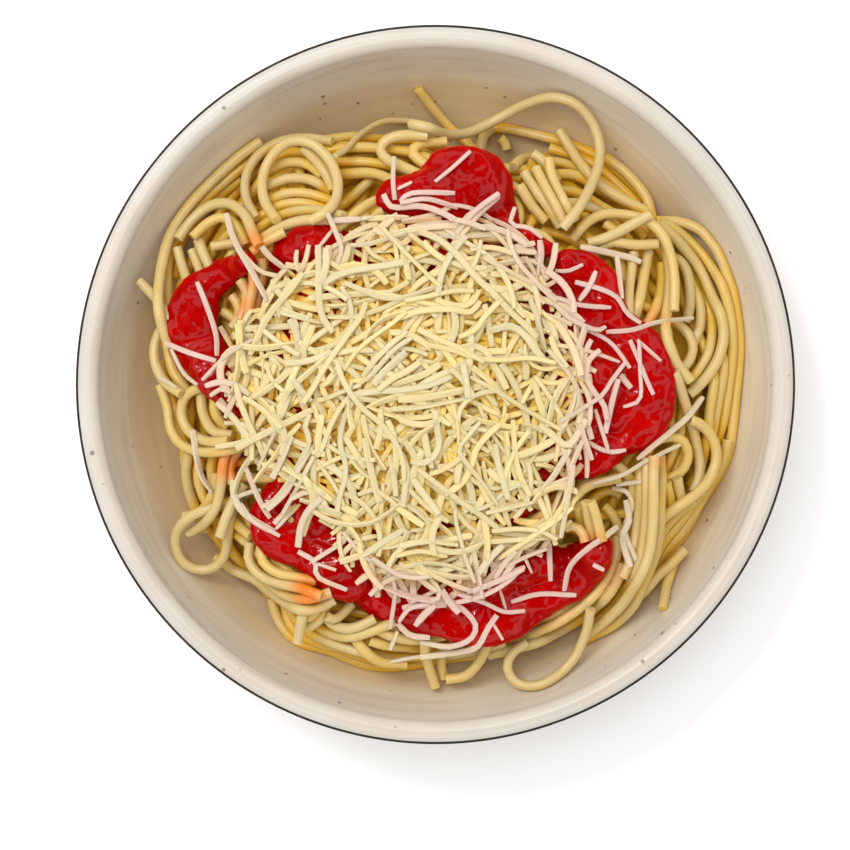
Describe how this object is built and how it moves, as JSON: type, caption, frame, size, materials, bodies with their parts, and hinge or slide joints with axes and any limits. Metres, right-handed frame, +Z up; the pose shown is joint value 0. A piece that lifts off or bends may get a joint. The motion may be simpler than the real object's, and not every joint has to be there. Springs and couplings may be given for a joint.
{
  "type": "plate of spaghetti with ketchup",
  "caption": "Deep round stoneware plate filled with a heap of cooked spaghetti, with a thick ring of ketchup and a loose pile of grated cheese on top.",
  "frame": {"origin": "centre of the plate's foot ring, on the table", "axes": "+Z up, along the plate's axis; +Y towards the side on which the big loose loop of spaghetti leans on the plate's wall; +X towards the long strands that follow the plate's right edge"},
  "size_m": [0.19, 0.19, 0.0623],
  "materials": {
    "stoneware_glaze": "satin",
    "cooked_pasta": "satin",
    "ketchup": "gloss",
    "grated_cheese": "satin"
  },
  "bodies": {
    "root": {"plate": "stoneware_glaze", "spaghetti": "cooked_pasta", "ketchup": "ketchup", "grated_cheese": "grated_cheese"}
  },
  "joints": []
}
